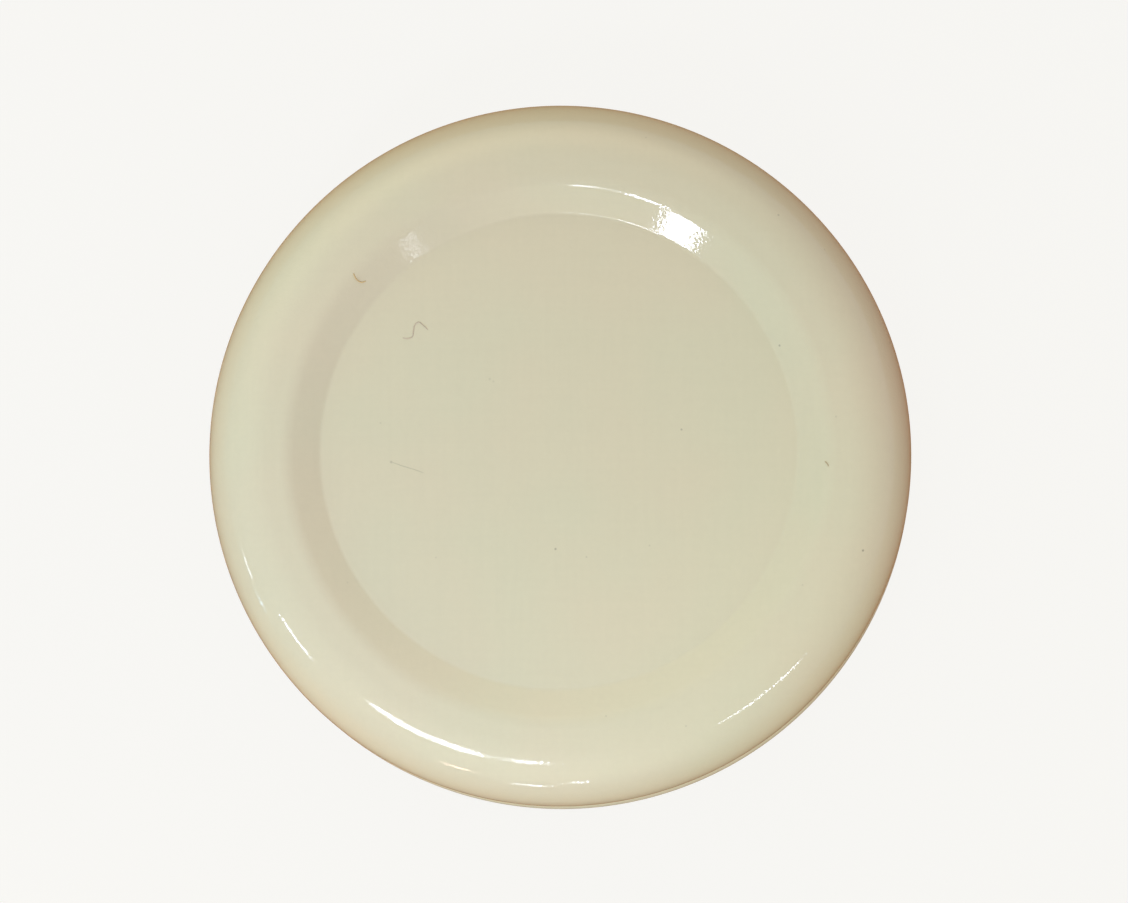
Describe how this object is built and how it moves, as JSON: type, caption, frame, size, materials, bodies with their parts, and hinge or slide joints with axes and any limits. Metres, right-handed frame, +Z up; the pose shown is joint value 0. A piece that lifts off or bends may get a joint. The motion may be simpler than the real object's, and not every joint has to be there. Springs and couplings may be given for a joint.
{
  "type": "twist off jar lid",
  "caption": "Round pressed-steel screw-off jar lid with a recessed flat panel, soft shoulder, rolled rim with inward lugs, and a sealing ring under the crown.",
  "frame": {"origin": "centre of the circle on which the rolled rim stands, at the foot of the rim", "axes": "+Z up along the lid's axis, from the open side to the crown; +X through the middle of one lug"},
  "size_m": [0.046, 0.046, 0.01],
  "materials": {
    "painted_sheet": "glossy cream stoving enamel with a fine orange peel over tinned steel sheet, lightly dusty",
    "seal": "satin off-white flowed-in sealing compound"
  },
  "bodies": {
    "root": {"lid_shell": "painted_sheet", "sealing_ring": "seal"}
  },
  "joints": []
}
